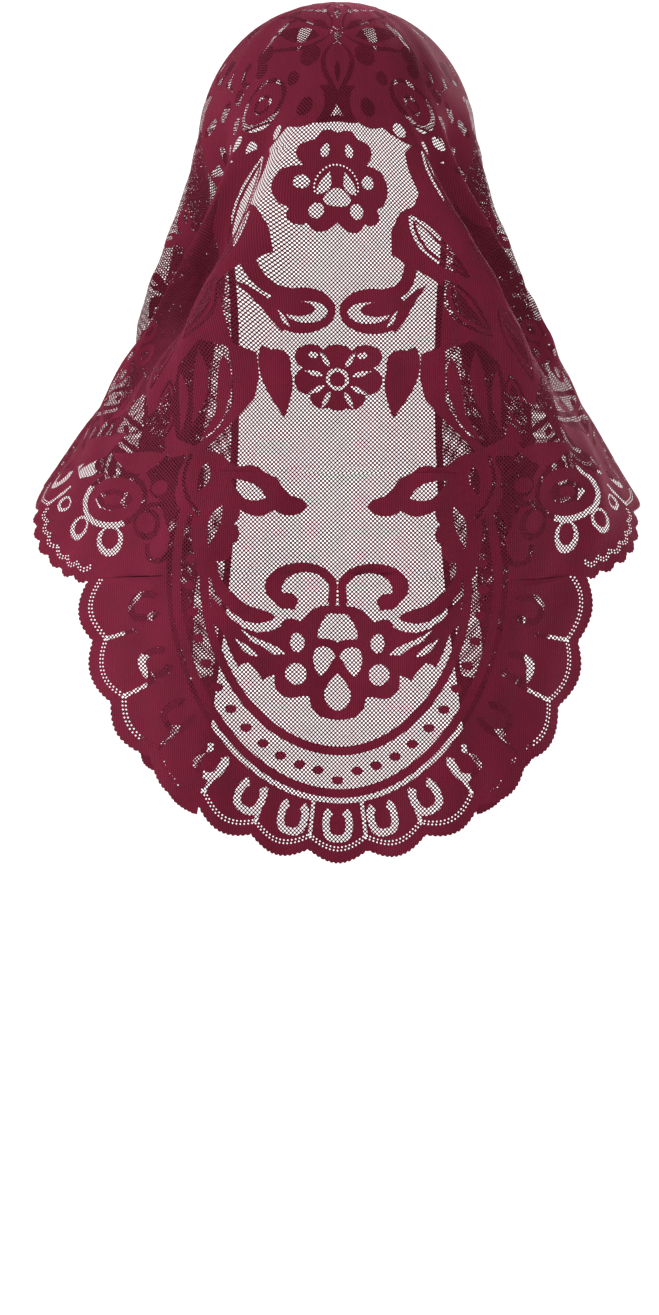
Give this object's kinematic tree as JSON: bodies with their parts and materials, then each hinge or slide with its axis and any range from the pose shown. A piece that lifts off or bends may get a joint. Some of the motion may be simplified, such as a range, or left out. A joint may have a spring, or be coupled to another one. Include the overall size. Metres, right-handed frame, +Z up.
{
  "type": "mantilla veil",
  "caption": "Knitted lace mantilla veil in its worn drape: rounded scalloped back lobe, two shoulder rose lobes and a folded fall down each side of the chest.",
  "frame": {"origin": "the crown of the head, at the middle of the cloth's thickness", "axes": "+Z up, +Y the way the wearer faces, +X the wearer's right"},
  "size_m": [0.3964, 0.2376, 0.553],
  "materials": {
    "lace": "matt burgundy raschel-knit polyester lace"
  },
  "bodies": {
    "root": {"lace_veil": "lace"}
  },
  "joints": []
}
